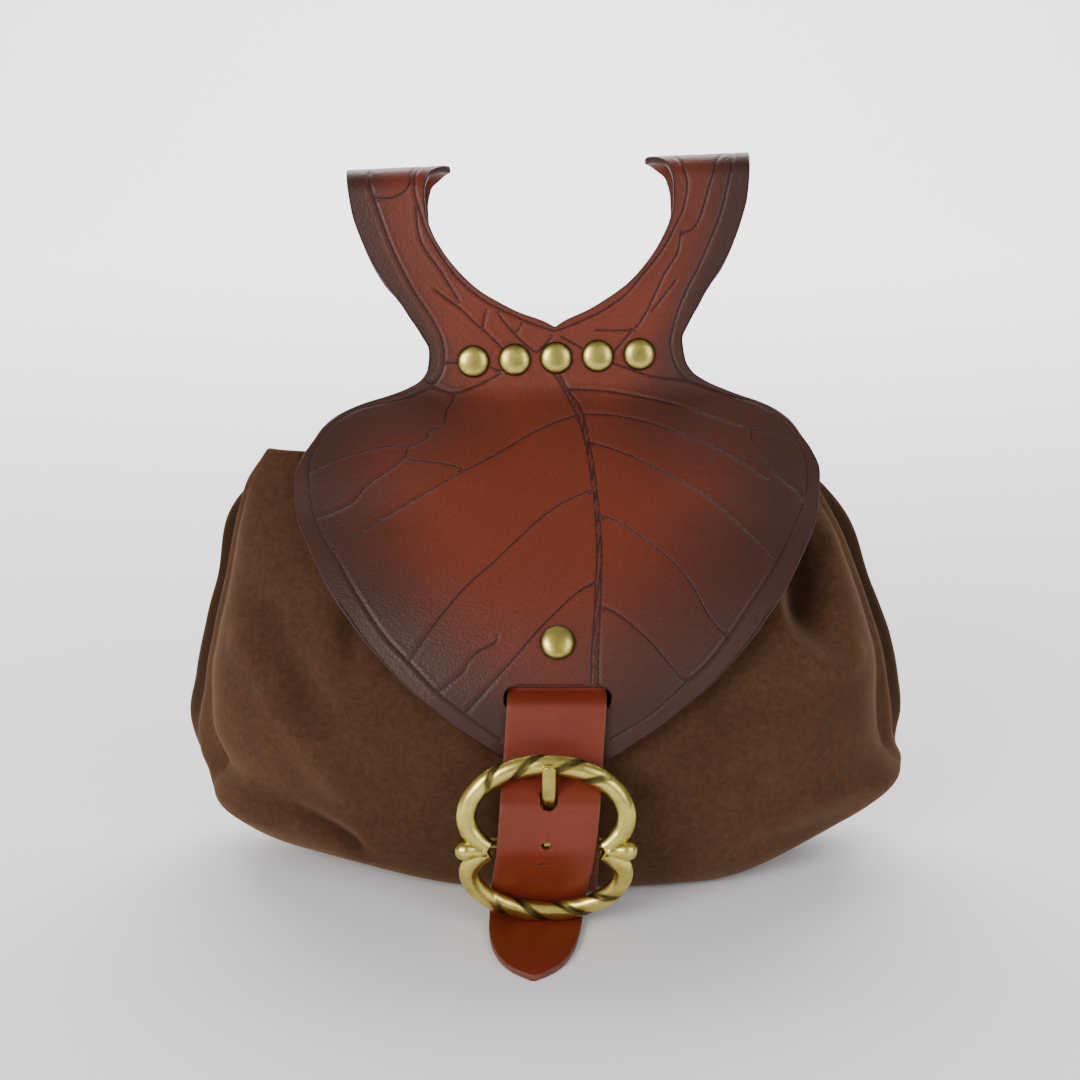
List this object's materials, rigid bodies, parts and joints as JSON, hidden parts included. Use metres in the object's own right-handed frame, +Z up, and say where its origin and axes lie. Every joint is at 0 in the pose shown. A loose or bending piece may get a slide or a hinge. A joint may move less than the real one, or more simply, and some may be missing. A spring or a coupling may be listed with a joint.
{
  "type": "waist bag",
  "caption": "Suede waist bag with a leaf-shaped leather flap, belt loops, brass rivets and a buckled strap.",
  "frame": {"origin": "under the middle of the whole object, on the surface it stands on", "axes": "+Z up, the flap and buckle face -Y, +X to the right when the flap is looked at"},
  "size_m": [0.2342, 0.1505, 0.2182],
  "materials": {
    "suede": "matte",
    "leather": "satin",
    "strap_leather": "satin",
    "brass": "satin"
  },
  "bodies": {
    "root": {"pouch": "suede", "flap": "leather", "closure_strap": "strap_leather", "buckle_strap": "strap_leather", "rivet_neck_1": "brass", "rivet_neck_2": "brass", "rivet_neck_3": "brass", "rivet_neck_4": "brass", "rivet_neck_5": "brass", "rivet_flap": "brass", "buckle_frame": "brass", "buckle_prong": "brass"}
  },
  "joints": []
}
